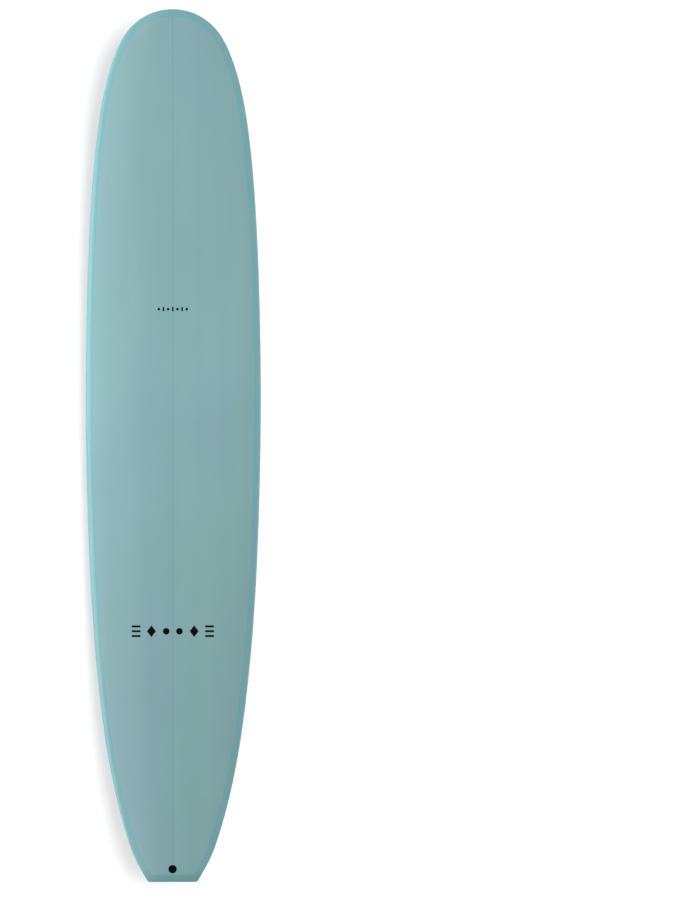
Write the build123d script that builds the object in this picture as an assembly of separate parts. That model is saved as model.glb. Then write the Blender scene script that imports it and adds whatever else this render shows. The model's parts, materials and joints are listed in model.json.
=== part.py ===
"""A 9 ft 6 in longboard, deck up: glassed foam blank, wooden stringer, fin box, leash plug and marks.

Frame, in millimetres: +Y runs from tail to nose, +X to the right of someone standing on the deck and facing
the nose, +Z up. The origin is below the middle of the board, at the height of the lowest point of the bottom.
A station is a distance from the tail end, measured along Y.
"""
from build123d import *
import math
import os

import numpy as np

# Driving dimensions
INCH = 25.4
LENGTH = 114 * INCH
WIDTH = 23 * INCH
THICKNESS = 78.0
TAIL_ROCKER = 95.6
NOSE_ROCKER = 109.0
TAIL_EVEN, NOSE_EVEN = 0.695, 0.67  # share of each rocker that builds up evenly, the rest kicks up at the end
LOWEST_STATION = 52 * INCH

# Outline: station in inches, and the half width as a share of the widest
OUTLINE = (
    (0, 0.2795), (3, 0.426), (6, 0.524), (12, 0.664), (24, 0.8355), (36, 0.9295), (48, 0.9775), (60, 0.9987),
    (72, 0.993), (84, 0.960), (96, 0.883), (102, 0.807), (108, 0.661), (111, 0.523), (113, 0.3255), (114, 0),
)
# Foil: station in inches, and the thickness on the centre line as a share of the thickest
FOIL = (
    (0, 0.22), (6, 0.46), (12, 0.647), (24, 0.858), (36, 0.954), (48, 0.99), (57, 1), (72, 0.95), (84, 0.855),
    (96, 0.71), (102, 0.606), (108, 0.47), (111, 0.38), (113, 0.295), (114, 0.24),
)
# Height of the rail's outermost line as a share of the thickness: at the tail, at RAIL_TURN and at the nose
RAIL_SHARES = (0.48, 0.37, 0.33)
RAIL_TURN = 0.3 * LENGTH
# How far the rail climbs before it turns in, and how far the flat of the deck or the bottom reaches out
DECK_RISE, DECK_FLAT = 0.80, 0.543
BOTTOM_RISE, BOTTOM_FLAT = 0.85, 0.79
NOSE_ROUND = 10.0
TAIL_ROUND = 8.0
TAIL_CORNER = 2.0  # how much the tail's corners are rounded off sideways
TAIL_EDGE = 0.5  # thickness left at the flat of the tail end, as a share of the thickness behind it
NOSE_BLUNT = 0.1  # the nose ends in a flat this far short of a point

# Glassing: two layers all over, which lap round the rails onto each other
LAYER = 1.0
LAP_SIDE = 22.0
LAP_END = 25.0
LAP_TURN = 0.4  # nose measure by which the lap has narrowed from LAP_END to LAP_SIDE

STRINGER_WIDTH = 4.0

# Fin box, under the glass of the bottom, with only its slot open
FIN_BOX_STATION = 296.5
FIN_BOX_LENGTH, FIN_BOX_WIDTH, FIN_BOX_DEPTH = 268.0, 26.0, 25.0
FIN_BOX_FLANGE = 6.0  # how far the flange stands out all round
FIN_BOX_FLANGE_DEPTH = 5.0
FIN_SLOT_LENGTH, FIN_SLOT_WIDTH, FIN_SLOT_DEPTH = 259.5, 9.5, 22.0
FIN_TRACK_LENGTH, FIN_TRACK_WIDTH = 254.0, 14.0
FIN_TRACK_TOP, FIN_TRACK_BOTTOM = 7.0, 12.0
FIN_NOTCH_WIDTH = 14.0
RESIN_BED = 1.5

# Leash plug, flush with the deck
PLUG_STATION = 42.6
PLUG_DIAMETER, PLUG_DEPTH = 28.0, 15.0
CUP_DIAMETER, CUP_DEPTH = 22.0, 12.5
BAR_DIAMETER, BAR_LENGTH, BAR_DEPTH = 3.5, 26.0, 5.0

# Marks set flush in the outer layer
LARGE_MARK_STATION, SMALL_MARK_STATION = 831.0, 1901.0
ROWS_MARK_STATION, WAVE_MARK_STATION = 1963.0, 890.0
BADGE_STATION, BADGE_DIAMETER, BADGE_RING = 56.0, 28.0, 3.0

CLEAR = 400.0  # long enough to cut right through the board
OUTSIDE = -40.0  # a depth that is clear outside the board


def smooth_curve(points):
    """The natural cubic spline through (x, y) points with rising x, as a function of x."""
    x, y = np.array(points, float).T
    step = np.diff(x)
    slope = np.diff(y) / step
    size = len(x)
    matrix, right = np.eye(size), np.zeros(size)
    for i in range(1, size - 1):
        matrix[i, i - 1:i + 2] = step[i - 1], 2 * (step[i - 1] + step[i]), step[i]
        right[i] = 6 * (slope[i] - slope[i - 1])
    bend = np.linalg.solve(matrix, right)

    def value(at):
        i = min(max(int(np.searchsorted(x, at)) - 1, 0), size - 2)
        before, after = at - x[i], x[i + 1] - at
        straight = (y[i] * after + y[i + 1] * before) / step[i]
        curved = bend[i] * after * (after**2 - step[i]**2) + bend[i + 1] * before * (before**2 - step[i]**2)
        return float(straight + curved / (6 * step[i]))

    return value


def nose_measure(station):
    """0 at the nose tip and 1 at the tail, with the square root that makes the nose round."""
    return math.sqrt(max(1 - station / LENGTH, 0))


outline_curve = smooth_curve(sorted((nose_measure(s * INCH), share * WIDTH / 2) for s, share in OUTLINE))
foil_curve = smooth_curve([(s * INCH, share * THICKNESS) for s, share in FOIL])


def rocker(station):
    """Height of the bottom's centre line above its lowest point."""
    if station < LOWEST_STATION:
        along = 1 - station / LOWEST_STATION
        return TAIL_ROCKER * (TAIL_EVEN * along**2 + (1 - TAIL_EVEN) * along**4)
    along = (station - LOWEST_STATION) / (LENGTH - LOWEST_STATION)
    return NOSE_ROCKER * (NOSE_EVEN * along**2 + (1 - NOSE_EVEN) * along**5)


def slope(height, station):
    """Rise per millimetre towards the nose of a height that depends on the station."""
    return (height(station + 1) - height(station - 1)) / 2


def rail_share(station):
    """Height of the rail's outermost line as a share of the thickness."""
    return float(np.interp(station, (0, RAIL_TURN, LENGTH), RAIL_SHARES))


def rail_height(station):
    """Height of the rail's outermost line."""
    return rocker(station) + rail_share(station) * foil_curve(station)


def deck_height(station):
    """Height of the deck's centre line."""
    return rocker(station) + foil_curve(station)


def end_rounding(station):
    """Share of the thickness that is left by the rounding of the tail end and of the nose tip."""
    if station < TAIL_ROUND:
        return math.sqrt(1 - (1 - TAIL_EDGE**2) * (1 - station / TAIL_ROUND)**2)
    if station > LENGTH - NOSE_ROUND:
        return math.sqrt(1 - (1 - (LENGTH - station) / NOSE_ROUND)**2)
    return 1.0


def half_width(station):
    """Half the width at a station, with the tail's corners rounded."""
    corner = TAIL_CORNER * (1 - end_rounding(station)) / (1 - TAIL_EDGE) if station < TAIL_ROUND else 0
    return outline_curve(nose_measure(station)) - corner


def quarter(side, y, middle, height, rise, flat):
    """Control points of a quarter of a section, from the rail's outermost line to the centre line."""
    return [
        (side, y, middle),
        (side, y, middle + rise * height),
        (flat * side, y, middle + height),
        (0, y, middle + height),
    ]


def section(station, depth):
    """The closed cross-section of the surface that lies depth below the finished one."""
    y = (station - LENGTH / 2) * (LENGTH - 2 * depth) / LENGTH
    side = half_width(station) * (WIDTH - 2 * depth) / WIDTH
    thickness, share, left = foil_curve(station), rail_share(station), end_rounding(station)
    middle = rail_height(station)
    above = ((1 - share) * thickness - depth) * left
    below = -(share * thickness - depth) * left
    curves = (
        quarter(-side, y, middle, above, DECK_RISE, DECK_FLAT),
        quarter(side, y, middle, above, DECK_RISE, DECK_FLAT)[::-1],
        quarter(side, y, middle, below, BOTTOM_RISE, BOTTOM_FLAT),
        quarter(-side, y, middle, below, BOTTOM_RISE, BOTTOM_FLAT)[::-1],
    )
    return Wire([Edge.make_bezier(*points) for points in curves])


def section_stations():
    """Stations of the sections, close together towards the tail and the nose."""
    spans = 28
    between = [LENGTH / 2 * (1 - math.cos(math.pi * i / spans)) for i in range(1, spans)]
    return [0, 2, 5] + between + [LENGTH - d for d in (6, 2.5, 0.8, NOSE_BLUNT)]


def board_shape(depth):
    """The whole board as one solid, shrunk by depth."""
    return Solid.make_loft([section(station, depth) for station in section_stations()])


def at_station(station):
    """Y of a station."""
    return station - LENGTH / 2


def inset_point(measure):
    """Point of the outline's right half, moved inwards by the width of the lap."""
    step = 1e-4
    across = (outline_curve(measure + step) - outline_curve(measure - step)) / (2 * step)
    along = -2 * measure * LENGTH
    size = math.hypot(across, along)
    inset = LAP_END + (LAP_SIDE - LAP_END) * min(1, measure / LAP_TURN)
    x = outline_curve(measure) + inset * along / size
    y = LENGTH * (1 - measure**2) - inset * across / size
    return x, y - LENGTH / 2


def lap_outline():
    """The face inside the cut edge of the laps, seen from above."""
    steps = 18
    right = [inset_point(i / steps) for i in range(steps + 1)]
    right[0] = (0, right[0][1])
    left = [(-x, y) for x, y in right[:0:-1]]
    edge = Edge.make_spline([(x, y, 0) for x, y in left + right])
    tail = Edge.make_line(edge @ 1, edge @ 0)
    face = Face(Wire([edge, tail]))
    ahead_of_tail = Pos(0, at_station(LAP_END) + LENGTH / 2, 0) * Rectangle(2 * WIDTH, LENGTH)
    return face & ahead_of_tail


def above_rail():
    """Everything higher than the rail's outermost line."""
    places = [(0, at_station(LENGTH * i / 12), rail_height(LENGTH * i / 12)) for i in range(13)]
    low = Edge.make_spline(places)
    ends = [low @ 0, low @ 1]
    corners = [ends[1], ends[1] + (0, 0, CLEAR), Vector(0, ends[0].Y, (ends[1] + (0, 0, CLEAR)).Z), ends[0]]
    sides = [Edge.make_line(a, b) for a, b in zip(corners, corners[1:])]
    face = Face(Wire([low, *sides]))
    return extrude(face, CLEAR, dir=(1, 0, 0), both=True)


def upright(face):
    """A face extruded both ways along its normal, right through the board."""
    return extrude(face, CLEAR, both=True)


def bottom_plane(station):
    """A plane on the bottom, its Z axis pointing out of the board."""
    normal = (0, slope(rocker, station), -1)
    return Plane((0, at_station(station), rocker(station)), x_dir=(1, 0, 0), z_dir=normal)


def deck_plane(station):
    """A plane on the deck, its Z axis pointing out of the board."""
    normal = (0, -slope(deck_height, station), 1)
    return Plane((0, at_station(station), deck_height(station)), x_dir=(1, 0, 0), z_dir=normal)


def sunk(plane, face, top, bottom):
    """A face extruded on a plane from the depth top to the depth bottom below it."""
    return plane * Pos(0, 0, -bottom) * extrude(face, bottom - top)


def along_board(length, width):
    """A slot shape whose long axis runs along the board."""
    return SlotOverall(length, width, rotation=90)


def fin_box_outside(margin):
    """The fin box's body and flange, enlarged by margin, standing clear out of the bottom."""
    plane = bottom_plane(FIN_BOX_STATION)
    body = along_board(FIN_BOX_LENGTH + 2 * margin, FIN_BOX_WIDTH + 2 * margin)
    wide = 2 * (FIN_BOX_FLANGE + margin)
    flange = along_board(FIN_BOX_LENGTH + wide, FIN_BOX_WIDTH + wide)
    return sunk(plane, body, OUTSIDE, FIN_BOX_DEPTH + margin) + sunk(
        plane, flange, OUTSIDE, FIN_BOX_FLANGE_DEPTH + margin
    )


def fin_slot():
    """The slot that a fin's foot slides in: mouth, track under the lips and the notch that lets a nut in."""
    plane = bottom_plane(FIN_BOX_STATION)
    mouth = sunk(plane, along_board(FIN_SLOT_LENGTH, FIN_SLOT_WIDTH), OUTSIDE, FIN_SLOT_DEPTH)
    track = sunk(plane, Rectangle(FIN_TRACK_WIDTH, FIN_TRACK_LENGTH), FIN_TRACK_TOP, FIN_TRACK_BOTTOM)
    notch = sunk(plane, Circle(FIN_NOTCH_WIDTH / 2), OUTSIDE, FIN_TRACK_BOTTOM)
    return mouth + track + notch


def plug_outside(margin):
    """The leash plug's barrel, enlarged by margin, standing clear out of the deck."""
    barrel = Circle(PLUG_DIAMETER / 2 + margin)
    return sunk(deck_plane(PLUG_STATION), barrel, OUTSIDE, PLUG_DEPTH + margin)


def plug_cup():
    """The hollow of the leash plug."""
    return sunk(deck_plane(PLUG_STATION), Circle(CUP_DIAMETER / 2), OUTSIDE, CUP_DEPTH)


def plug_bar():
    """The bar across the leash plug, which the leash string is tied round."""
    across = Rot(0, 90, 0) * Cylinder(BAR_DIAMETER / 2, BAR_LENGTH)
    return deck_plane(PLUG_STATION) * Pos(0, 0, -BAR_DEPTH) * across


def deck_view(station):
    """A level plane to draw on as seen from above, nose up."""
    return Plane((0, at_station(station), 0))


def bottom_view(station):
    """A level plane to draw on as seen from below, nose up."""
    return Plane((0, at_station(station), 0), x_dir=(-1, 0, 0), z_dir=(0, 0, -1))


def spread(count, pitch):
    """Places of count things in a row with an even pitch, about the middle."""
    return [(i - (count - 1) / 2) * pitch for i in range(count)]


def large_mark():
    """Stacked bars, a diamond and a dot, and the same mirrored."""
    height, stroke, bar_length, diamond_width, dot_radius = 39.0, 7.0, 29.0, 30.0, 11.0
    bars_out, diamond_out, dot_out = 122.0, 71.0, 22.0  # distances from the centre line
    bars = Sketch() + [Pos(0, y) * Rectangle(bar_length, stroke) for y in spread(3, (height - stroke) / 2)]
    wide, high = diamond_width / 2, height / 2
    diamond = Polygon((0, high), (wide, 0), (0, -high), (-wide, 0))
    side = [Pos(bars_out, 0) * bars, Pos(diamond_out, 0) * diamond, Pos(dot_out, 0) * Circle(dot_radius)]
    return side + [mirror(shape, Plane.YZ) for shape in side]


def small_mark():
    """A row of dots and short bars."""
    pitch, dot_radius, bar_width, bar_height = 31.0, 4.5, 5.5, 14.0
    dots = [Pos(x, 0) * Circle(dot_radius) for x in spread(4, pitch)]
    bars = [Pos(x, 0) * Rectangle(bar_width, bar_height) for x in spread(3, pitch)]
    return dots + bars


def rows_mark():
    """Three rows of small marks."""
    row_pitch, close, wide = 25.0, 11.6, 15.5
    bar_width, bar_height, diamond_radius, dot_radius = 5.5, 8.0, 4.6, 3.6
    upper = [Pos(x, row_pitch) * Rectangle(bar_width, bar_height) for x in spread(9, close)]
    middle = [Pos(x, 0) * RegularPolygon(diamond_radius, 4, rotation=45) for x in spread(9, close)]
    lower = [Pos(x, -row_pitch) * Circle(dot_radius) for x in spread(7, wide)]
    return upper + middle + lower


def wave_mark():
    """Two rows of dashes over a plain wave line."""
    fine_y, bold_y, line_y = 15.0, 5.0, -9.0
    fine = [Pos(x, fine_y) * Rectangle(14, 3.5) for x in spread(4, 19)]
    bold = [Pos(x, bold_y) * Rectangle(20, 5) for x in spread(3, 25.5)]
    return fine + bold + [wave_line(line_y)]


def wave_line(middle):
    """A ribbon that follows three waves."""
    steps, length, swing, stroke, waves = 24, 52.0, 4.0, 2.6, 3
    turns = [2 * math.pi * waves * i / steps for i in range(steps + 1)]
    line = [(length * (i / steps - 0.5), middle + swing * math.sin(turn)) for i, turn in enumerate(turns)]
    upper = Edge.make_spline([(x, y + stroke / 2, 0) for x, y in line])
    lower = Edge.make_spline([(x, y - stroke / 2, 0) for x, y in line])
    ends = [Edge.make_line(upper @ end, lower @ end) for end in (0, 1)]
    return Face(Wire([upper, lower, *ends]))


def badge_ring():
    """The dark rim of the round badge."""
    return [Circle(BADGE_DIAMETER / 2) - Circle(BADGE_DIAMETER / 2 - BADGE_RING)]


def badge_disc():
    """The coloured middle of the round badge."""
    return [Circle(BADGE_DIAMETER / 2 - BADGE_RING)]


def inlay(layer, plane, faces):
    """What the faces, drawn on a level plane, cut out of a layer, and the layer without it."""
    cutter = Compound([solid for face in faces for solid in upright(plane * face).solids()])
    return layer & cutter, layer - cutter


def stringer_slab():
    """The space of the stringer, all along the board."""
    return Box(STRINGER_WIDTH, 2 * LENGTH, CLEAR * 2)


def build():
    """Every part of the board by name."""
    finished, bonded, foam = (board_shape(layers * LAYER) for layers in range(3))
    outer_skin, inner_skin = finished - bonded, bonded - foam
    inside_lap, over_rail = upright(lap_outline()), above_rail()
    deck_field, bottom_field = inside_lap & over_rail, inside_lap - over_rail

    fin_pocket, fin_hollow = fin_box_outside(RESIN_BED), fin_slot()
    plug_pocket = plug_outside(RESIN_BED)
    core = foam - fin_pocket - plug_pocket

    parts = {
        "stringer": core & stringer_slab(),
        "bottom_laminate": inner_skin - deck_field - fin_hollow,
        "deck_patch_laminate": (inner_skin & deck_field) - plug_pocket,
        "fin_box_housing": (fin_box_outside(0) & foam) - fin_hollow,
        "fin_box_resin_bed": (fin_pocket & foam) - fin_box_outside(0),
        "leash_plug_cup": (plug_outside(0) & finished) - plug_cup() - plug_bar(),
        "leash_plug_bar": plug_bar(),
        "leash_plug_resin_bed": (plug_pocket & finished) - plug_outside(0),
    }
    halves = (core - stringer_slab()).solids().sort_by(Axis.X)
    parts["foam_blank_left"], parts["foam_blank_right"] = halves

    deck = (outer_skin - bottom_field) - plug_pocket
    parts["large_mark"], deck = inlay(deck, deck_view(LARGE_MARK_STATION), large_mark())
    parts["small_mark"], parts["deck_laminate"] = inlay(deck, deck_view(SMALL_MARK_STATION), small_mark())

    bottom = (outer_skin & bottom_field) - fin_hollow
    parts["rows_mark"], bottom = inlay(bottom, bottom_view(ROWS_MARK_STATION), rows_mark())
    parts["wave_mark"], bottom = inlay(bottom, bottom_view(WAVE_MARK_STATION), wave_mark())
    parts["badge_ring"], bottom = inlay(bottom, bottom_view(BADGE_STATION), badge_ring())
    parts["badge_disc"], parts["bottom_coat"] = inlay(bottom, bottom_view(BADGE_STATION), badge_disc())
    return parts


os.makedirs("parts", exist_ok=True)
for name, shape in build().items():
    export_step(Compound(list(shape.solids()), label=name), f"parts/{name}.step")
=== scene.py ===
"""The looks of a 9 ft 6 in longboard: glass skins, marks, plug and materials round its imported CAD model.

Metres, in the CAD model's frame: +Y from tail to nose, +X to the right of someone on the deck, +Z up out of
the deck. A station is a distance from the tail end along Y. A plan position is x and y alone.
"""
import json
import math

import bpy
import numpy as np
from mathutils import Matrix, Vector

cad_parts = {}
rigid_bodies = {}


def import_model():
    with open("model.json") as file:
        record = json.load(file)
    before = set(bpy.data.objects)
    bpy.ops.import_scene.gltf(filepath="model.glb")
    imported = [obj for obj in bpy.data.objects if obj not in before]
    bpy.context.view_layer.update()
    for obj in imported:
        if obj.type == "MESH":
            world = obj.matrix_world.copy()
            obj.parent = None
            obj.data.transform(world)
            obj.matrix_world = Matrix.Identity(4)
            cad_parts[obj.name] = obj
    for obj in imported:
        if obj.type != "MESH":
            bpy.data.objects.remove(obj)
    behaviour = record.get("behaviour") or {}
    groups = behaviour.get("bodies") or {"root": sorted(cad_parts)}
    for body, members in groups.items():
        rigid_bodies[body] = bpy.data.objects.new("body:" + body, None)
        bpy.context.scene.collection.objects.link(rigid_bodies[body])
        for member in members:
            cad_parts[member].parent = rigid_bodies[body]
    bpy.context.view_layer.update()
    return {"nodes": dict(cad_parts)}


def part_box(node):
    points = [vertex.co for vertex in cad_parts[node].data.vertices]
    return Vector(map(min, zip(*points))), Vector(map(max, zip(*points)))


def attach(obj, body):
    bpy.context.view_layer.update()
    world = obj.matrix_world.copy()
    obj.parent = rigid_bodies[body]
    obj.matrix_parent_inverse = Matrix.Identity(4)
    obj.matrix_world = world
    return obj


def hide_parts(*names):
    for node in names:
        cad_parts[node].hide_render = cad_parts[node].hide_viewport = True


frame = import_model()

MM = 0.001
INCH = 0.0254

# The board's driving dimensions
LENGTH, WIDTH, THICKNESS = 114 * INCH, 23 * INCH, 78 * MM
TAIL_ROCKER, NOSE_ROCKER = 95.6 * MM, 109 * MM
TAIL_EVEN, NOSE_EVEN = 0.695, 0.67  # share of each rocker that builds up evenly, the rest kicks up at the end
LOWEST_STATION = 52 * INCH
# Station in inches, and the half width as a share of the widest
OUTLINE = (
    (0, 0.2795), (3, 0.426), (6, 0.524), (12, 0.664), (24, 0.8355), (36, 0.9295), (48, 0.9775), (60, 0.9987),
    (72, 0.993), (84, 0.960), (96, 0.883), (102, 0.807), (108, 0.661), (111, 0.523), (113, 0.3255), (114, 0),
)
# Station in inches, and the thickness on the centre line as a share of the thickest
FOIL = (
    (0, 0.22), (6, 0.46), (12, 0.647), (24, 0.858), (36, 0.954), (48, 0.99), (57, 1), (72, 0.95), (84, 0.855),
    (96, 0.71), (102, 0.606), (108, 0.47), (111, 0.38), (113, 0.295), (114, 0.24),
)
# Height of the rail's outermost line as a share of the thickness: at the tail, at RAIL_TURN and at the nose
RAIL_SHARES, RAIL_TURN = (0.48, 0.37, 0.33), 0.3 * LENGTH
# How far the rail climbs before it turns in, and how far the flat reaches out
DECK_CURVE, BOTTOM_CURVE = (0.80, 0.543), (0.85, 0.79)
NOSE_ROUND, TAIL_ROUND, TAIL_CORNER = 10 * MM, 8 * MM, 2 * MM
TAIL_EDGE = 0.5  # thickness left at the flat of the tail end, as a share of the thickness behind it
LAP_SIDE, LAP_END = 22 * MM, 25 * MM
LAP_TURN = 0.4  # nose measure by which the lap has narrowed from LAP_END to LAP_SIDE
LAYER = 1.0 * MM

# The skins' grid: columns, rows along the board, and rows across the laps and the tail end
COLUMNS = 48
SHOULDER = 0.13  # nose measure of the corners of the grid at the nose
NOSE_REACH = 0.45  # over this length the rows bend from straight to the nose's round
ROW_PITCH = 11.2 * MM
DECK_SPOKE, BOTTOM_SPOKE = 9, 11
TAIL_END_ROWS = 4

# The leash plug, and the block of the grid that is cut out round it: half its length, its rows, and its
# columns on each side of the middle
PLUG_STATION, RESIN_RADIUS = 42.6 * MM, 15.5 * MM
PLUG_BLOCK, PLUG_ROWS, PLUG_COLUMNS = 17.6 * MM, 18, 6

# The fin slot. Its opening is 259.5 mm by 9.5 mm, and a little less in plan, because the bottom slopes there.
# It is made a little smaller still, so that the lip hides the cut edges of the glass.
SLOT_STATION, SLOT_LENGTH, SLOT_WIDTH, NOTCH_WIDTH = 296.5 * MM, 257.1 * MM, 9.4 * MM, 14 * MM
NOTCH_HALF = math.sqrt(NOTCH_WIDTH**2 - SLOT_WIDTH**2) / 2  # half the length of the notch along the slot
LIP = 0.5 * MM  # width of the fin box's plastic that shows round the slot
SLOT_PITCH = NOTCH_HALF / 2
SLOT_ROWS = 2 * math.ceil((SLOT_LENGTH / 2 + 20 * MM) / SLOT_PITCH)
SLOT_COLUMNS = 2


def smooth_curve(points):
    """The natural cubic spline through (x, y) points with rising x, as a function of an array."""
    x, y = np.array(points, float).T
    step = np.diff(x)
    slope = np.diff(y) / step
    size = len(x)
    matrix, right = np.eye(size), np.zeros(size)
    for i in range(1, size - 1):
        matrix[i, i - 1:i + 2] = step[i - 1], 2 * (step[i - 1] + step[i]), step[i]
        right[i] = 6 * (slope[i] - slope[i - 1])
    bend = np.linalg.solve(matrix, right)

    def value(at):
        i = np.clip(np.searchsorted(x, at) - 1, 0, size - 2)
        before, after = at - x[i], x[i + 1] - at
        straight = (y[i] * after + y[i + 1] * before) / step[i]
        curved = bend[i] * after * (after**2 - step[i]**2) + bend[i + 1] * before * (before**2 - step[i]**2)
        return straight + curved / (6 * step[i])

    return value


def nose_measure(station):
    """0 at the nose tip and 1 at the tail, with the square root that makes the nose round."""
    return np.sqrt(np.maximum(1 - station / LENGTH, 0))


outline_points = sorted((float(nose_measure(s * INCH)), share * WIDTH / 2) for s, share in OUTLINE)
outline_curve = smooth_curve(outline_points)
foil_curve = smooth_curve([(s * INCH, share * THICKNESS) for s, share in FOIL])


def rocker(station):
    """Height of the bottom's centre line above its lowest point."""
    back = 1 - station / LOWEST_STATION
    ahead = (station - LOWEST_STATION) / (LENGTH - LOWEST_STATION)
    tail = TAIL_ROCKER * (TAIL_EVEN * back**2 + (1 - TAIL_EVEN) * back**4)
    nose = NOSE_ROCKER * (NOSE_EVEN * ahead**2 + (1 - NOSE_EVEN) * ahead**5)
    return np.where(station < LOWEST_STATION, tail, nose)


def rail_share(station):
    """Height of the rail's outermost line as a share of the thickness."""
    return np.interp(station, (0, RAIL_TURN, LENGTH), RAIL_SHARES)


def end_rounding(station):
    """Share of the thickness that is left by the rounding of the tail end and of the nose tip."""
    tail = np.sqrt(1 - (1 - TAIL_EDGE**2) * np.clip(1 - station / TAIL_ROUND, 0, 1)**2)
    nose = np.sqrt(1 - np.clip(1 - (LENGTH - station) / NOSE_ROUND, 0, 1)**2)
    return tail * nose


def half_width(station):
    """Half the width at a station, with the tail's corners rounded."""
    corner = np.where(station < TAIL_ROUND, TAIL_CORNER * (1 - end_rounding(station)) / (1 - TAIL_EDGE), 0)
    return outline_curve(nose_measure(station)) - corner


def across(turn, flat):
    """How far out a section is, as a share of its half width, from 1 at the rail to 0 on the centre line."""
    return 1 - 3 * (1 - flat) * turn**2 + (2 - 3 * flat) * turn**3


def turn_at(share, flat):
    """Place along a quarter of a section, 0 at the rail and 1 on the centre line, that is that far out."""
    low, high = np.zeros_like(share), np.ones_like(share)
    for _ in range(40):
        middle = (low + high) / 2
        outside = across(middle, flat) > share
        low, high = np.where(outside, middle, low), np.where(outside, high, middle)
    return (low + high) / 2


def board_points(x, y, top, depth=0.0):
    """Points of the deck (top) or the bottom at plan positions, or of the surface at a depth inside it."""
    x, y = np.broadcast_arrays(np.asarray(x, float), np.asarray(y, float))
    station = np.clip(y + LENGTH / 2, 0, LENGTH)
    rise, flat = DECK_CURVE if top else BOTTOM_CURVE
    half, share, rounding = half_width(station), rail_share(station), end_rounding(station)
    turn = turn_at(np.clip(np.abs(x) / np.maximum(half, 1e-9), 0, 1), flat)
    reach = (1 - share if top else share) * foil_curve(station) - depth
    climb = 3 * (1 - turn)**2 * turn * rise + 3 * (1 - turn) * turn**2 + turn**3
    side = np.sign(x) * half * across(turn, flat) * (WIDTH - 2 * depth) / WIDTH
    height = rocker(station) + share * foil_curve(station) + (1 if top else -1) * reach * rounding * climb
    return np.stack([side, y * (LENGTH - 2 * depth) / LENGTH, height], axis=-1)


def outline_point(measure):
    """Plan position on the outline at a signed nose measure, positive on the right."""
    return np.sign(measure) * outline_curve(abs(measure)), LENGTH * (0.5 - measure**2)


def cut_point(measure):
    """Plan position on the cut edge of the laps, inwards from the outline at a signed nose measure."""
    step = 1e-4
    size = np.abs(measure)
    sideways = (outline_curve(size + step) - outline_curve(np.abs(size - step))) / (2 * step)
    sideways = np.where(size < step, outline_curve(step) / step, sideways)
    endways = -2 * size * LENGTH
    inset = LAP_END + (LAP_SIDE - LAP_END) * np.minimum(1, size / LAP_TURN)
    reach = np.hypot(sideways, endways)
    x = np.maximum(outline_curve(size) + inset * endways / reach, 0)
    return np.sign(measure) * x, LENGTH * (0.5 - size**2) - inset * sideways / reach


def stretch(start, end, pitch):
    """Evenly spaced places from start up to end, about a pitch apart, without the last."""
    return list(np.linspace(start, end, round((end - start) / pitch) + 1)[:-1])


def row_stations():
    """Stations of all rows, and the number of the first row of the slot's block. The plug's starts at 0.

    They are taken on the cut edge of the laps, from the tail to the shoulder of the nose. They are close
    together round the leash plug and along the fin slot, and symmetric about each.
    """
    plug_start, plug_end = PLUG_STATION - PLUG_BLOCK, PLUG_STATION + PLUG_BLOCK
    slot_start = SLOT_STATION - SLOT_ROWS / 2 * SLOT_PITCH
    slot_end = SLOT_STATION + SLOT_ROWS / 2 * SLOT_PITCH
    shoulder = float(cut_point(np.array(SHOULDER))[1]) + LENGTH / 2
    near_tail = stretch(plug_start, plug_end, 2 * PLUG_BLOCK / PLUG_ROWS)
    between = stretch(plug_end, slot_start, ROW_PITCH)
    slot = stretch(slot_start, slot_end, SLOT_PITCH)
    ahead = stretch(slot_end, shoulder, ROW_PITCH)
    return np.array(near_tail + between + slot + ahead + [shoulder]), len(near_tail + between)


def edge_plans(rows):
    """Plan positions of the rows' ends on the right: on the cut edge, and on the outline."""
    measures = np.linspace(SHOULDER, 1.02, 4000)  # many, to look up between, and a little past the tail
    cut_x, cut_y = cut_point(measures)
    y = rows - LENGTH / 2
    x = np.interp(-y, -cut_y, cut_x)
    shoulder_station = LENGTH * (1 - SHOULDER**2)
    stations = (rows - rows[0]) * shoulder_station / (rows[-1] - rows[0])
    return (x, y), (half_width(stations), stations - LENGTH / 2)


def field_plan(rows):
    """Plan positions, rows by columns, of the grid inside the cut edge of the laps."""
    (side, y), _ = edge_plans(rows)
    shares = np.linspace(-1, 1, COLUMNS + 1)
    nose_x, nose_y = cut_point(SHOULDER * shares)
    bent = np.clip(1 - (y[-1] - y) / NOSE_REACH, 0, 1)
    bent = (bent**2 * (3 - 2 * bent))[:, None]
    x = side[:, None] * shares + bent * (nose_x - side[-1] * shares)
    return x, y[:, None] + bent * (nose_y - y[-1])


def loop_round(grid):
    """The border of a grid whose rows run up and whose columns run right, once round, anticlockwise."""
    return np.concatenate([grid[0, :-1], grid[:-1, -1], grid[-1, :0:-1], grid[:0:-1, 0]])


def outline_loop(rows):
    """Plan positions on the outline that go with the border of the field, once round, anticlockwise."""
    _, (side, y) = edge_plans(rows)
    shares = np.linspace(-1, 1, COLUMNS + 1)
    nose_x, nose_y = outline_point(SHOULDER * shares)
    x = np.concatenate([shares[:-1] * side[0], side[:-1], nose_x[:0:-1], -side[:0:-1]])
    return x, np.concatenate([np.full(COLUMNS, y[0]), y[:-1], nose_y[:0:-1], y[:0:-1]])


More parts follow.
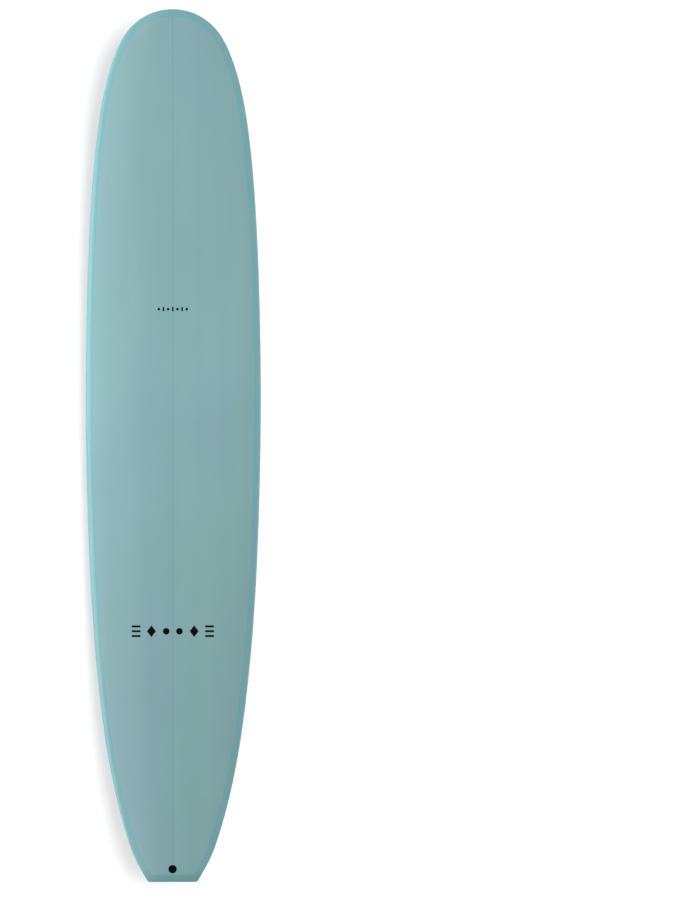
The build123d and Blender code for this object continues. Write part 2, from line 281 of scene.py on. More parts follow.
class Surface:
    """The board's finished surface as one closed mesh, with its faces sorted by region."""

    def __init__(self):
        self.outer, self.inner, self.cut = [], [], []
        self.regions = {"deck": [], "rail": [], "bottom": []}

    def add(self, x, y, top, cut=0.0):
        """Adds points over plan positions and returns their numbers, in the same arrangement."""
        x, y = np.broadcast_arrays(x, y)
        first = sum(map(len, self.outer))
        self.outer.append(board_points(x, y, top).reshape(-1, 3))
        self.inner.append(board_points(x, y, top, LAYER).reshape(-1, 3))
        self.cut.append(np.broadcast_to(cut, x.shape).ravel())
        return first + np.arange(x.size).reshape(x.shape)

    def quads(self, region, low, high, up):
        """Joins two rows of points, which run right with low before high, with quads that face up or down."""
        corners = np.stack([low[:-1], low[1:], high[1:], high[:-1]], axis=-1).reshape(-1, 4)
        self.regions[region] += (corners if up else corners[:, ::-1]).tolist()

    def finish(self):
        """Joins the points into arrays and works out the normals."""
        self.outer, self.inner, self.cut = map(np.concatenate, (self.outer, self.inner, self.cut))
        self.normals = vertex_normals(self.outer, sum(self.regions.values(), []))


def vertex_normals(points, faces):
    """Each point's normal, from the faces round it."""
    normals = np.zeros_like(points)
    quads = np.array([face + face[-1:] if len(face) == 3 else face for face in faces])
    corners = points[quads]
    facing = np.cross(corners[:, 2] - corners[:, 0], corners[:, 3] - corners[:, 1])
    for i in range(4):
        np.add.at(normals, quads[:, i], facing)
    return normals / np.maximum(np.linalg.norm(normals, axis=1, keepdims=True), 1e-12)


def closed(loop):
    """A loop with its first member again at its end."""
    return np.append(loop, loop[:1], axis=0)


def round_hole(x, y, station, half_length, side, end, notch=0.0):
    """Places round a hole's middle line: side to its sides, end beyond its ends and notch round its middle.

    They lie where lines from that middle line to plan positions round the hole cross its edge.
    """
    along = y - (station - LENGTH / 2)
    middle = np.clip(along, -half_length, half_length)
    reach = np.hypot(x, along - middle)
    sideways, endways = x / reach, (along - middle) / reach
    wide = 1 / np.hypot(sideways / side, endways / end)
    wide = np.maximum(wide, np.sqrt(np.maximum(notch**2 - along**2, 0)))
    return sideways * wide, station - LENGTH / 2 + middle + endways * wide


def plug_hole(x, y, radius):
    """A circle round the leash plug's axis."""
    return round_hole(x, y, PLUG_STATION, 0, radius, radius)


def slot_hole(x, y, side, end, notch=0.0):
    """An edge round the fin slot."""
    return round_hole(x, y, SLOT_STATION, (SLOT_LENGTH - SLOT_WIDTH) / 2, side, end, notch)


def resin_edge(x, y):
    """The edge of the resin round the leash plug."""
    return plug_hole(x, y, RESIN_RADIUS)


def lip_edge(x, y):
    """The edge of the fin box's plastic round the slot."""
    side = SLOT_WIDTH / 2 + LIP
    return slot_hole(x, y, side, side, NOTCH_WIDTH / 2 + LIP)


def field(surface, region, plan, cut_loop, block, edge):
    """Adds the grid inside the laps on the deck or the bottom. Its block has a hole with the given edge."""
    x, y = plan
    top = region == "deck"
    grid = surface.add(x, y, top, -distance_to_loop(x, y, cut_loop))
    first_row, row_count, half_columns = block
    rows = slice(first_row, first_row + row_count + 1)
    columns = slice(COLUMNS // 2 - half_columns, COLUMNS // 2 + half_columns + 1)
    kept = np.ones((len(grid) - 1, COLUMNS), bool)
    kept[rows.start:rows.stop - 1, columns.start:columns.stop - 1] = False
    quads = grid_faces(grid)[kept.ravel()]
    surface.regions[region] += (quads if top else quads[:, ::-1]).tolist()
    ring_x, ring_y = loop_round(x[rows, columns]), loop_round(y[rows, columns])
    edge_x, edge_y = edge(ring_x, ring_y)
    outside = loop_round(grid[rows, columns])
    for share in (0.4, 0.75, 1):  # rings between the block's border and the edge of the hole
        loop_x, loop_y = ring_x + share * (edge_x - ring_x), ring_y + share * (edge_y - ring_y)
        loop = surface.add(loop_x, loop_y, top, -distance_to_loop(loop_x[None], loop_y[None], cut_loop)[0])
        surface.quads(region, closed(outside), closed(loop), top)
        outside = loop
    return grid


def spokes(surface, border, top, count, cut_loop, edge_loop, edge):
    """Adds the lap from the cut edge out to the outline, on the deck or the bottom.

    edge has the outline's point numbers where they are already there, and -1 where they are not.
    """
    inner = border
    reach = np.hypot(edge_loop[0] - cut_loop[0], edge_loop[1] - cut_loop[1])
    for k in range(1, count + 1):
        share = 1 - (1 - k / count)**2  # closer together toward the outline, where the rail turns
        if k < count or edge is None:
            x = cut_loop[0] + share * (edge_loop[0] - cut_loop[0])
            y = cut_loop[1] + share * (edge_loop[1] - cut_loop[1])
            outer = surface.add(x, y, top, share * reach)
        else:
            outer = np.where(edge < 0, surface.add(*edge_loop, top, reach), edge)
        surface.quads("rail", closed(outer), closed(inner), top)
        inner = outer
    return inner


def tail_end(surface, deck_edge, bottom_edge):
    """Closes the flat tail end between the deck's and the bottom's last rows."""
    deck, bottom = deck_edge[:COLUMNS + 1], bottom_edge[:COLUMNS + 1]
    points = np.concatenate(surface.outer)
    inner = np.concatenate(surface.inner)
    cut = np.concatenate(surface.cut)
    row = bottom
    for k in range(1, TAIL_END_ROWS + 1):
        share = k / TAIL_END_ROWS
        if k < TAIL_END_ROWS:
            first = sum(map(len, surface.outer))
            surface.outer.append(points[bottom[1:-1]] * (1 - share) + points[deck[1:-1]] * share)
            surface.inner.append(inner[bottom[1:-1]] * (1 - share) + inner[deck[1:-1]] * share)
            surface.cut.append(cut[deck[1:-1]])
            higher = np.concatenate([bottom[:1], first + np.arange(COLUMNS - 1), bottom[-1:]])
        else:
            higher = deck
        for j in range(COLUMNS):
            corners = [row[j], row[j + 1], higher[j + 1], higher[j]]
            surface.regions["rail"].append([int(c) for c in dict.fromkeys(corners)])
        row = higher


def block_round(plan, first_row, row_count, half_columns):
    """Plan positions of the border of a block of the grid, once round."""
    rows = slice(first_row, first_row + row_count + 1)
    columns = slice(COLUMNS // 2 - half_columns, COLUMNS // 2 + half_columns + 1)
    return tuple(loop_round(axis[rows, columns]) for axis in plan)


def finished_surface():
    """The whole surface of the board, with the borders of the plug's block and of the slot's block."""
    rows, slot_row = row_stations()
    plan = field_plan(rows)
    plug_block, slot_block = (0, PLUG_ROWS, PLUG_COLUMNS), (slot_row, SLOT_ROWS, SLOT_COLUMNS)
    cut_loop = loop_round(plan[0]), loop_round(plan[1])
    edge_loop = outline_loop(rows)
    surface = Surface()
    deck = field(surface, "deck", plan, cut_loop, plug_block, resin_edge)
    bottom = field(surface, "bottom", plan, cut_loop, slot_block, lip_edge)
    rail = spokes(surface, loop_round(deck), True, DECK_SPOKE, cut_loop, edge_loop, None)
    shared = rail.copy()
    shared[1:COLUMNS] = -1
    low = spokes(surface, loop_round(bottom), False, BOTTOM_SPOKE, cut_loop, edge_loop, shared)
    tail_end(surface, rail, low)
    surface.finish()
    return surface, block_round(plan, *plug_block), block_round(plan, *slot_block)


def distance_to_loop(x, y, loop):
    """Distance of each plan position in a grid from the nearest point of a loop."""
    rows = [np.hypot(u[:, None] - loop[0], v[:, None] - loop[1]).min(1) for u, v in zip(x, y)]
    return np.array(rows)


def link(name, mesh):
    """An object for a mesh, linked to the scene."""
    piece = bpy.data.objects.new(name, mesh)
    bpy.context.scene.collection.objects.link(piece)
    return piece


def shell(name, surface, region):
    """One region of the surface as a closed sheet, one layer thick, with the surface's own normals."""
    faces = surface.regions[region]
    used = sorted({v for face in faces for v in face})
    number = {v: i for i, v in enumerate(used)}
    outside, inside, rims = closed_faces(len(used), [[number[v] for v in face] for face in faces])
    mesh = bpy.data.meshes.new(name)
    points = np.concatenate([surface.outer[used], surface.inner[used]])
    mesh.from_pydata(points.tolist(), [], outside + inside + rims)
    mesh.attributes.new("cut", "FLOAT", "POINT").data.foreach_set("value", np.tile(surface.cut[used], 2))
    mesh.shade_smooth()
    facing = surface.normals[used]
    loops = [facing[v] for face in outside for v in face]
    loops += [-facing[v - len(used)] for face in inside for v in face]
    loops += [face.normal for face in mesh.polygons[len(outside) + len(inside):] for _ in face.vertices]
    mesh.normals_split_custom_set([tuple(normal) for normal in loops])
    return link(name, mesh)


def closed_faces(count, faces):
    """Outer, inner and rim faces of a closed sheet, from its outer ones. Inner points follow count on."""
    outside = [[int(v) for v in face] for face in faces]
    inside = [[v + count for v in reversed(face)] for face in outside]
    edges = {(face[i - 1], face[i]) for face in outside for i in range(len(face))}
    rims = sorted([b, a, a + count, b + count] for a, b in edges if (b, a) not in edges)
    return outside, inside, rims


def grid_faces(numbers):
    """The quads of a grid of point numbers."""
    corners = [numbers[:-1, :-1], numbers[:-1, 1:], numbers[1:, 1:], numbers[1:, :-1]]
    return np.stack(corners, axis=-1).reshape(-1, 4)


def finished(name, points, faces, material, node):
    """A smooth piece with creases at its sharp edges, which stands for a CAD node."""
    mesh = bpy.data.meshes.new(name)
    corners = [[int(v) for v in face] for face in faces]
    mesh.from_pydata(np.asarray(points, float).reshape(-1, 3).tolist(), [], corners)
    mesh.shade_smooth()
    mesh.set_sharp_from_angle(angle=math.radians(35))
    dressed(link(name, mesh), material, node)


def dressed(piece, material, node):
    """Gives a piece its material, and makes it ride on the board and stand for a CAD node."""
    piece.data.materials.append(material)
    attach(piece, "root")
    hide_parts(node)


# Printed marks. Each patch is a grid of x and y, seen with the nose up and the face towards the viewer.
PRINT_PROUD, PRINT_SUNK = 0.06 * MM, 0.25 * MM  # how far prints stand out of the surface and go into it
PRINT_CELL = 2.4 * MM


def bar(width, height, x=0.0, y=0.0):
    """A rectangle."""
    across_cells, up_cells = (max(1, round(size / PRINT_CELL)) for size in (width, height))
    sides = np.linspace(-width / 2, width / 2, across_cells + 1) + x
    return np.meshgrid(sides, np.linspace(-height / 2, height / 2, up_cells + 1) + y)


def dot(radius, x=0.0, y=0.0):
    """A disc, as a square grid drawn out to a circle."""
    cells = 2 * max(3, round(radius / PRINT_CELL))
    u, v = np.meshgrid(np.linspace(-1, 1, cells + 1), np.linspace(-1, 1, cells + 1))
    return radius * u * np.sqrt(1 - v**2 / 2) + x, radius * v * np.sqrt(1 - u**2 / 2) + y


def diamond(half_wide, half_high, x=0.0, y=0.0):
    """A rhombus with its corners on the axes."""
    cells = max(2, round(half_high / PRINT_CELL))
    u, v = np.meshgrid(np.linspace(-1, 1, cells + 1), np.linspace(-1, 1, cells + 1))
    return half_wide * (u + v) / 2 + x, half_high * (v - u) / 2 + y


def ring(inner, outer):
    """An annulus, as a grid whose last row is its first one again."""
    turns = np.linspace(0, 2 * math.pi, 65)
    radii = np.linspace(inner, outer, 4)
    return np.outer(np.cos(turns), radii), np.outer(np.sin(turns), radii)


def wave_line(length, swing, stroke, y):
    """A plain sine line of three waves."""
    along = np.linspace(-0.5, 0.5, 61)
    middle = swing * np.sin(6 * math.pi * (along + 0.5)) + y
    return np.tile(length * along, (3, 1)), np.stack([middle - stroke / 2, middle, middle + stroke / 2])


def spread(count, pitch):
    """Places of count things in a row with an even pitch, about the middle."""
    return [(i - (count - 1) / 2) * pitch for i in range(count)]


def large_mark():
    """Stacked bars, a diamond and a dot, and the same mirrored."""
    patches = []
    for side in (-1, 1):
        patches += [bar(29 * MM, 7 * MM, side * 122 * MM, y) for y in spread(3, 16 * MM)]
        patches += [diamond(15 * MM, 19.5 * MM, side * 71 * MM), dot(11 * MM, side * 22 * MM)]
    return patches


def small_mark():
    """A row of dots and short bars."""
    pitch = 31 * MM
    bars = [bar(5.5 * MM, 14 * MM, x) for x in spread(3, pitch)]
    return [dot(4.5 * MM, x) for x in spread(4, pitch)] + bars


def rows_mark():
    """Three rows of small marks."""
    row_pitch = 25 * MM
    upper = [bar(5.5 * MM, 8 * MM, x, row_pitch) for x in spread(9, 11.6 * MM)]
    middle = [diamond(4.6 * MM, 4.6 * MM, x) for x in spread(9, 11.6 * MM)]
    return upper + middle + [dot(3.6 * MM, x, -row_pitch) for x in spread(7, 15.5 * MM)]


def wave_mark():
    """Two rows of dashes over a plain wave line."""
    fine = [bar(14 * MM, 3.5 * MM, x, 15 * MM) for x in spread(4, 19 * MM)]
    bold = [bar(20 * MM, 5 * MM, x, 5 * MM) for x in spread(3, 25.5 * MM)]
    return fine + bold + [wave_line(52 * MM, 4 * MM, 2.6 * MM, -9 * MM)]


def printed(node, patches, top, material):
    """Patches that follow the board and stand just proud of it, centred where a CAD node is."""
    low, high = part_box(node)
    heights = np.concatenate([y.ravel() for _, y in patches])
    shift = (low.y + high.y) / 2 - (heights.min() + heights.max()) / 2
    points, buried, faces = [], [], []
    for x, y in patches:
        wraps = np.allclose(x[0], x[-1]) and np.allclose(y[0], y[-1])
        if wraps:
            x, y = x[:-1], y[:-1]
        numbers = sum(map(len, points)) + np.arange(x.size).reshape(x.shape)
        faces += grid_faces(closed(numbers) if wraps else numbers).tolist()
        plan = (x if top else -x), y + shift
        points.append(board_points(*plan, top, -PRINT_PROUD).reshape(-1, 3))
        buried.append(board_points(*plan, top, PRINT_SUNK).reshape(-1, 3))
    faces = sum(closed_faces(sum(map(len, points)), faces), [])
    finished(node + "_print", np.concatenate(points + buried), faces, material, node)


def inward(station, top):
    """Direction into the board, square to its surface on the centre line."""
    y = station - LENGTH / 2 + np.array([-1, 1]) * 5 * MM
    back, ahead = board_points(0.0, y, top)
    along = (ahead - back) / np.linalg.norm(ahead - back)
    return np.array([0, along[2], -along[1]]) * (1 if top else -1)


def sunk(name, loops, station, top, material, node):
    """A closed piece let into the board.

    Its rings (x, y, depth) run from its hollow's floor over its rim and down its outside. The first and the
    last ring are filled.
    """
    into = inward(station, top)
    count = len(loops[0][0])
    points = [board_points(x, y, top) + depth * into for x, y, depth in loops]
    numbers = np.arange(count * len(loops)).reshape(len(loops), count)
    faces = [face for low, high in zip(numbers, numbers[1:]) for face in strip(low, high)]
    faces += [numbers[0].tolist(), numbers[-1, ::-1].tolist()]
    if not top:
        faces = [face[::-1] for face in faces]
    finished(name, np.concatenate(points), faces, material, node)


def strip(inner, outer):
    """Quads between two rings of point numbers, the first inside or below the second in a hollow."""
    inner, outer = closed(inner), closed(outer)
    return np.stack([inner[:-1], outer[:-1], outer[1:], inner[1:]], axis=-1).tolist()


def plug_cup(around, material):
    """The leash plug: a cup with a filleted floor and a rounded rim just proud of the deck."""
    profile = (  # radius, depth, in mm
        (10.0, 12.5), (10.7, 12.2), (11, 11.5), (11, 9.0), (11, 5.0), (11, 1.1), (11.15, 0.5), (11.5, 0.1),
        (12.1, -0.12), (12.7, -0.17), (13.3, -0.12), (13.75, 0.0), (13.93, 0.25), (13.96, 1.0), (13.96, 14.7),
        (13.6, 15.0),
    )
    loops = [(*plug_hole(*around, radius * MM), depth * MM) for radius, depth in profile]
    sunk("plug_cup", loops, PLUG_STATION, True, material, "leash_plug_cup")


def plug_resin(around, material):
    """The resin that holds the plug, with a slightly hollow top between plug and glass."""
    profile = (  # radius, depth, in mm
        (14.0, 15.05), (14.0, 1.0), (14.02, 0.2), (14.15, 0.1), (14.75, 0.16), (15.3, 0.08), (15.46, 0.12),
        (15.46, 1.0), (15.46, 16.3),
    )
    loops = [(*plug_hole(*around, radius * MM), depth * MM) for radius, depth in profile]
    sunk("plug_resin", loops, PLUG_STATION, True, material, "leash_plug_resin_bed")


def plug_bar(material):
    """The bar across the plug, which swells where it joins the cup's wall."""
    low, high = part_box("leash_plug_bar")
    centre, half = (low + high) / 2, (high - low) / 2
    turns = np.linspace(0, 2 * math.pi, 33)[:-1]
    shares = np.linspace(-1, 1, 33)
    points = []
    for share in shares:
        radius = half.z * (0.98 + 0.5 * max(0, (abs(share) - 0.7) / 0.3)**2)
        x = np.full_like(turns, centre.x + share * half.x)
        y, z = centre.y + radius * np.cos(turns), centre.z + radius * np.sin(turns)
        points.append(np.stack([x, y, z], axis=-1))
    numbers = np.arange(len(shares) * len(turns)).reshape(len(shares), len(turns))
    faces = [face for left, right in zip(numbers, numbers[1:]) for face in strip(right, left)]
    faces += [numbers[0, ::-1].tolist(), numbers[-1].tolist()]
    finished("plug_bar", np.concatenate(points), faces, material, "leash_plug_bar")


def fin_box(around, material):
    """The fin box: slot with a rounded lip, undercut tracks along its sides, notch, flange and body."""
    slot, notch, track = SLOT_WIDTH / 2 / MM, NOTCH_WIDTH / 2 / MM, 7.0
    profile = (  # side, end, notch, depth, in mm
        (slot - 0.8, slot - 0.8, 0, 22), (slot - 0.2, slot - 0.2, 0, 21.8), (slot, slot, 0, 21.2),
        (slot, slot, 0, 12.2), (slot + 0.2, slot, 0, 12), (track, slot, 0, 12), (track, slot, 0, 7),
        (slot + 0.2, slot, notch, 7), (slot, slot, notch, 6.8), (slot, slot, notch, 0.45),
        (slot + 0.07, slot + 0.07, notch + 0.07, 0.18), (slot + 0.22, slot + 0.22, notch + 0.22, 0.03),
        (slot + 0.42, slot + 0.42, notch + 0.42, -0.02), (slot + 0.46, slot + 0.46, notch + 0.46, 0.1),
        (slot + 0.46, slot + 0.46, notch + 0.46, 1.2), (19, 15, 0, 1.3), (19, 15, 0, 6), (13, 9, 0, 6),
        (13, 9, 0, 24), (12, 8, 0, 25),
    )
    loops = [(*slot_hole(*around, s * MM, e * MM, n * MM), d * MM) for s, e, n, d in profile]
    sunk("fin_box", loops, SLOT_STATION, False, material, "fin_box_housing")


class Paint:
    """A material under construction: one principled shader and the nodes that feed it."""

    def __init__(self, name, **values):
        self.material = bpy.data.materials.new(name)
        self.material.use_nodes = True
        self.tree = self.material.node_tree
        self.shader = self.tree.nodes["Principled BSDF"]
        for socket, value in values.items():
            self.shader.inputs[socket.replace("_", " ")].default_value = value
        self.place = self.node("ShaderNodeTexCoord").outputs["Object"]

    def node(self, kind, inputs=(), **settings):
        """Adds a node with settings, and gives its inputs values or links."""
        node = self.tree.nodes.new(kind)
        for name, value in settings.items():
            setattr(node, name, value)
        for socket, value in dict(inputs).items():
            self.feed(node.inputs[socket], value)
        return node

    def feed(self, socket, value):
        """Links an output to a socket, or sets the socket's value."""
        if isinstance(value, bpy.types.NodeSocket):
            self.tree.links.new(value, socket)
        else:
            socket.default_value = value

    def shade(self, socket, value):
        """Feeds one input of the shader."""
        self.feed(self.shader.inputs[socket], value)

    def stretched(self, scale):
        """The place in the board's frame, scaled along each axis."""
        inputs = {0: self.place, 1: scale}
        return self.node("ShaderNodeVectorMath", inputs, operation="MULTIPLY").outputs[0]

    def noise(self, scale, detail, stretch=(1, 1, 1)):
        """Smooth noise about 0.5."""
        inputs = {"Vector": self.stretched(stretch), "Scale": scale, "Detail": detail}
        return self.node("ShaderNodeTexNoise", inputs).outputs[0]

    def specks(self, scale, radius):
        """1 at scattered specks and 0 between them. radius is a share of their spacing."""
        inputs = {"Vector": self.place, "Scale": scale}
        away = self.node("ShaderNodeTexVoronoi", inputs).outputs["Distance"]
        return self.remap(away, radius * 0.6, radius, 1, 0)

    def math(self, operation, a, b=0.0):
        """Arithmetic on numbers."""
        return self.node("ShaderNodeMath", {0: a, 1: b}, operation=operation).outputs[0]

    def remap(self, value, low, high, to_low, to_high, smooth=True):
        """Maps a range to another, clamped."""
        inputs = {"Value": value, "From Min": low, "From Max": high, "To Min": to_low, "To Max": to_high}
        kind = "SMOOTHSTEP" if smooth else "LINEAR"
        return self.node("ShaderNodeMapRange", inputs, interpolation_type=kind).outputs[0]

    def axis(self, name):
        """One coordinate of the place in the board's frame."""
        return self.node("ShaderNodeSeparateXYZ", {0: self.place}).outputs[name]

    def weave(self, pitch):
        """A plain weave of threads along X and Y, from -1 to 1."""
        turns = [self.math("MULTIPLY", self.axis(name), 2 * math.pi / pitch) for name in ("X", "Y")]
        return self.math("MULTIPLY", *(self.math("SINE", turn) for turn in turns))

    def mix(self, factor, first, second):
        """Mixes two colours."""
        inputs = {0: factor, 6: first, 7: second}
        return self.node("ShaderNodeMix", inputs, data_type="RGBA").outputs[2]

    def tone(self, colour, *changes):
        """A colour times one factor for each change, a pair of a value from 0 to 1 and the factor's swing."""
        for value, swing in changes:
            factor = self.remap(value, 0, 1, 1 - swing, 1 + swing, smooth=False)
            colour = self.node("ShaderNodeVectorMath", {0: colour, 3: factor}, operation="SCALE").outputs[0]
        return colour

    def bump(self, *layers):
        """Stacks bumps, each a pair of a height from 0 to 1 and the height's size in metres."""
        normal = None
        for height, size in layers:
            inputs = {"Height": height, "Distance": size, "Strength": 1.0}
            if normal is not None:
                inputs["Normal"] = normal
            normal = self.node("ShaderNodeBump", inputs).outputs[0]
        self.shade("Normal", normal)


# The tinted glass's colours: two on the face of the board, those of the laps and over the stringer, and a
# painted shade on the laps at the tail end
COOL_LAMINATE, GREEN_LAMINATE = (0.1265, 0.238, 0.260, 1), (0.1255, 0.244, 0.244, 1)
LAP, CUT_LINE = (0.096, 0.238, 0.256, 1), (0.08, 0.21, 0.226, 1)
SHADED_TAIL_LAP = (0.073, 0.195, 0.2, 1)  # painted shade on the laps at the tail end
SEEN_STRINGER = (0.109, 0.224, 0.227, 1)


def glass_colour(paint):
    """The tint of the glass: in patches, darker at the stringer and the laps, darkest at their cut edge, with
    painted shade on the laps at the tail end.
    """
    cut = paint.node("ShaderNodeAttribute", attribute_name="cut").outputs["Fac"]
    wobble = paint.remap(paint.noise(24, 2), 0, 1, -1.6 * MM, 1.6 * MM, smooth=False)
    cut = paint.math("ADD", cut, wobble)
    patches = paint.remap(paint.noise(4, 2, (1, 0.4, 1)), 0.35, 0.65, 0, 1)
    stringer = paint.remap(paint.math("ABSOLUTE", paint.axis("X")), 1.2 * MM, 4.2 * MM, 0.9, 0)
    lapped = paint.remap(cut, -3.5 * MM, 5 * MM, 0, 1)
    # painted shade: the laps darken over the last few centimetres before the tail end
    tail_lap_shade = paint.remap(paint.axis("Y"), 10 * MM - LENGTH / 2, 45 * MM - LENGTH / 2, 1, 0)
    from_line = paint.math("ABSOLUTE", paint.math("SUBTRACT", cut, 1.2 * MM))
    line = paint.remap(from_line, 0.2 * MM, 1.8 * MM, 0.5, 0)
    colour = paint.mix(patches, COOL_LAMINATE, GREEN_LAMINATE)
    colour = paint.mix(stringer, colour, SEEN_STRINGER)
    colour = paint.mix(lapped, colour, LAP)
    colour = paint.mix(paint.math("MULTIPLY", lapped, tail_lap_shade), colour, SHADED_TAIL_LAP)
    return paint.mix(line, colour, CUT_LINE)


def glass(name):
    """Tinted resin over cloth, polished: cloudy, faintly streaked and woven, with painted shade that darkens
    it toward the tail and lightens it toward the nose.
    """
    paint = Paint(name, IOR=1.5, Coat_Weight=0.35, Coat_Roughness=0.05)
    weave = paint.remap(paint.weave(1.3 * MM), -1, 1, 0, 1, smooth=False)
    clouds = paint.noise(3.1, 3)
    streaks = paint.noise(16, 3, (1, 0.08, 1))
    pinholes = paint.specks(48, 0.035)
    # painted shade: the tint is darker toward the tail and lighter toward the nose, standing in for how light
    # falls along the rocker
    tail_shade = paint.remap(paint.axis("Y"), -0.48 * LENGTH, 0.2 * LENGTH, 1, 0)
    changes = (tail_shade, -0.085), (clouds, 0.07), (streaks, 0.05), (weave, 0.02), (pinholes, -0.12)
    paint.shade("Base Color", paint.tone(glass_colour(paint), *changes))
    scratches = paint.math("MULTIPLY", paint.noise(60, 3, (1, 0.15, 1)), 0.4)
    worn = paint.math("ADD", paint.noise(5, 4), scratches)
    paint.shade("Roughness", paint.remap(worn, 0.4, 1.0, 0.13, 0.27))
    paint.bump((paint.noise(55, 1), 0.10 * MM), (weave, 0.004 * MM), (pinholes, -0.02 * MM))
    return paint.material


def ink(name, colour):
    """Print under a thin layer of gloss, a little uneven in its cover."""
    paint = Paint(name, IOR=1.5, Specular_IOR_Level=0.04)
    cover = paint.noise(420, 3)
    paint.shade("Base Color", paint.tone(colour, (cover, 0.35), (paint.noise(60, 2), 0.2)))
    paint.shade("Roughness", paint.remap(paint.noise(30, 3), 0.3, 0.7, 0.16, 0.3))
    paint.bump((cover, 0.012 * MM))
    return paint.material


def plastic(name):
    """Black moulded plastic, finely grained, with scuffs that leave it greyer and duller."""
    paint = Paint(name, IOR=1.46, Specular_IOR_Level=0.05)
    grain = paint.noise(1500, 2)
    scuffs = paint.remap(paint.noise(90, 4, (1, 0.2, 1)), 0.56, 0.72, 0, 1)
    black, grey = (0.002, 0.0022, 0.0025, 1), (0.009, 0.0095, 0.01, 1)
    colour = paint.mix(paint.math("MULTIPLY", scuffs, 0.5), black, grey)
    paint.shade("Base Color", paint.tone(colour, (grain, 0.15)))
    paint.shade("Roughness", paint.remap(paint.math("ADD", grain, scuffs), 0.4, 1.5, 0.36, 0.6))
    paint.bump((grain, 0.03 * MM), (scuffs, -0.01 * MM))
    return paint.material


def resin(name):
    """Tinted filling resin with fine bubbles."""
    paint = Paint(name, IOR=1.52, Coat_Weight=0.3)
    bubbles = paint.specks(900, 0.18)
    colour = paint.mix(paint.math("MULTIPLY", bubbles, 0.5), (0.13, 0.27, 0.285, 1), (0.3, 0.42, 0.43, 1))
    paint.shade("Base Color", paint.tone(colour, (paint.noise(180, 3), 0.1)))
    paint.shade("Roughness", paint.remap(paint.noise(240, 2), 0.3, 0.7, 0.14, 0.28))
    paint.bump((bubbles, 0.02 * MM), (paint.noise(110, 2), 0.05 * MM))
    return paint.material


def foam(name):
    """Planed polyurethane foam: fine open cells and long planer marks."""
    paint = Paint(name, IOR=1.4)
    cells = paint.noise(2200, 2)
    planed = paint.noise(70, 2, (1, 0.04, 1))
    paint.shade("Base Color", paint.tone((0.84, 0.84, 0.8), (cells, 0.07), (planed, 0.03)))
    paint.shade("Roughness", paint.remap(cells, 0.3, 0.7, 0.82, 0.95))
    paint.bump((cells, 0.15 * MM), (planed, 0.1 * MM))
    return paint.material


def wood(name):
    """Basswood: grain along the board, with fine pores."""
    paint = Paint(name, IOR=1.45)
    bands = paint.noise(140, 3, (1, 0.02, 1))
    pores = paint.remap(paint.noise(900, 2, (1, 0.05, 1)), 0.6, 0.7, 0, 1)
    colour = paint.mix(bands, (0.44, 0.3, 0.17, 1), (0.66, 0.52, 0.34, 1))
    paint.shade("Base Color", paint.tone(colour, (paint.noise(6, 2), 0.1), (pores, -0.15)))
    paint.shade("Roughness", paint.remap(bands, 0.3, 0.7, 0.55, 0.7))
    paint.bump((bands, 0.05 * MM), (pores, -0.05 * MM))
    return paint.material


def covered(material, *nodes):
    """Gives a material to CAD nodes that stay as they are."""
    for node in nodes:
        frame["nodes"][node].material_slots[0].material = material


def build_board():
    """All pieces, with their materials."""
    surface, plug_ring, slot_ring = finished_surface()
    laminate, lap = glass("tinted_glass"), glass("tinted_glass_lap")
    black, filling = plastic("black_plastic"), resin("tinted_resin")
    dark, red = ink("dark_ink", (0.001, 0.0022, 0.003)), ink("red_ink", (0.2, 0.012, 0.014))
    dressed(shell("deck_glass", surface, "deck"), laminate, "deck_laminate")
    dressed(shell("rail_glass", surface, "rail"), lap, "deck_laminate")
    dressed(shell("bottom_glass", surface, "bottom"), laminate, "bottom_coat")
    plug_cup(plug_ring, black)
    plug_resin(plug_ring, filling)
    plug_bar(black)
    fin_box(slot_ring, black)
    printed("large_mark", large_mark(), True, dark)
    printed("small_mark", small_mark(), True, dark)
    printed("rows_mark", rows_mark(), False, dark)
    printed("wave_mark", wave_mark(), False, dark)
    printed("badge_ring", [ring(11.05 * MM, 14 * MM)], False, dark)
    printed("badge_disc", [dot(11 * MM)], False, red)
    covered(foam("blank_foam"), "foam_blank_left", "foam_blank_right")
    covered(wood("stringer_wood"), "stringer")
    covered(laminate, "bottom_laminate", "deck_patch_laminate")
    covered(filling, "fin_box_resin_bed")


def floor():
    """A floor that fills the view. It is grey, and looks white in its own light."""
    half = 80.0  # half the floor's side, so that it reaches past every view but a level one
    mesh = bpy.data.meshes.new("floor")
    corners = [(-half, -half, 0), (half, -half, 0), (half, half, 0), (-half, half, 0)]
    mesh.from_pydata(corners, [], [(0, 1, 2, 3)])
    piece = link("floor", mesh)
    paint = Paint("floor", Roughness=0.9, Specular_IOR_Level=0.0)
    paint.shade("Base Color", (0.5, 0.5, 0.5, 1))
    mesh.materials.append(paint.material)


def light(name, kind, energy, place, **settings):
    """A light that shines from a place to the origin, unseen by the camera."""
    data = bpy.data.lights.new(name, kind)
    data.energy = energy
    for setting, value in settings.items():
        setattr(data, setting, value)
    lamp = bpy.data.objects.new(name, data)
    bpy.context.scene.collection.objects.link(lamp)
    lamp.location = place
    lamp.rotation_euler = (-Vector(place)).to_track_quat("-Z", "Y").to_euler()
    lamp.visible_camera = False
    return lamp


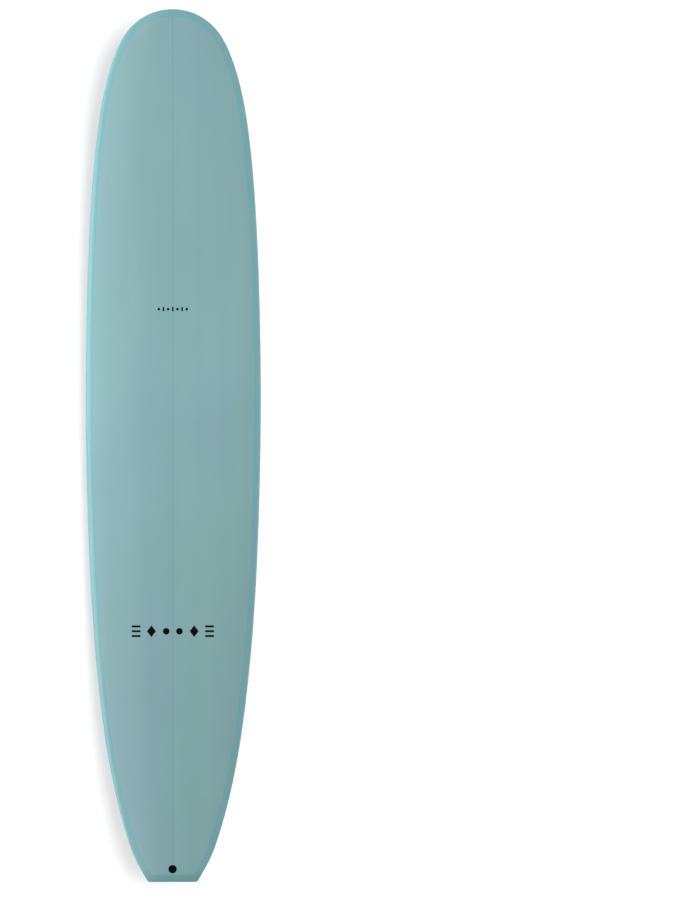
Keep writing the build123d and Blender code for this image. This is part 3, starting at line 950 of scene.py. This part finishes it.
def soft_box(name, energy, place, length, height):
    """A broad light along the board, without a shadow."""
    shape = {"shape": "RECTANGLE", "size": length, "size_y": height}
    return light(name, "AREA", energy, place, use_shadow=False, **shape)


def shine_on(wanted, *lamps):
    """Limits lights to the floor, or to the board."""
    lit = bpy.data.collections.new("lit_" + wanted)
    for piece in bpy.context.scene.objects:
        if piece.type == "MESH" and (piece.name == "floor") == (wanted == "floor"):
            lit.objects.link(piece)
    for lamp in lamps:
        lamp.light_linking.receiver_collection = lit


def lights():
    """Soft studio light: a white surround, three broad lights on the left, and three suns.

    The key sun casts the shadow on the floor, and the fill keeps the rest of the floor white. The third one
    lights the board from overhead, so that its right rail stays dark.
    """
    world = bpy.data.worlds.new("studio")
    world.use_nodes = True
    surround = world.node_tree.nodes["Background"]
    surround.inputs["Color"].default_value = (1, 1, 1, 1)
    surround.inputs["Strength"].default_value = 0.85
    bpy.context.scene.world = world
    key = light("key", "SUN", 2.8, (1.4, 0.28, 1.7), angle=math.radians(50))
    side = soft_box("side", 128, (-3.2, 0, 0.42), 5.5, 0.9)
    soft_box("top", 34, (-1.9, 0, 3.4), 6.5, 2.9)
    rim = soft_box("rim", 50, (-3.2, 0, 1.0), 5.5, 2)
    over = light("over", "SUN", 1.0, (0.25, 0.3, 1), angle=math.radians(40))
    fill = light("fill", "SUN", 2.4, (0, 0, 1), use_shadow=False)
    for lamp in (key, side, over, fill):
        lamp.visible_glossy = False
    rim.visible_diffuse = False
    shine_on("floor", key, fill)
    shine_on("board", side, rim, over)


def camera():
    """Straight down from high above, with the board on the left of the picture and its nose up."""
    high, deck_height = 20.0, 0.1
    view_height = 900 * 3.319 * MM  # at the height of the deck
    middle = 0.5886, -0.0147  # of the picture, in the board's frame
    data = bpy.data.cameras.new("camera")
    data.sensor_width = 36
    data.lens = data.sensor_width * (high - deck_height) / view_height
    data.clip_end = 100
    view = bpy.data.objects.new("camera", data)
    bpy.context.scene.collection.objects.link(view)
    view.location = (*middle, high)
    bpy.context.scene.camera = view


build_board()
floor()
lights()
camera()
bpy.context.scene.view_settings.view_transform = "Standard"
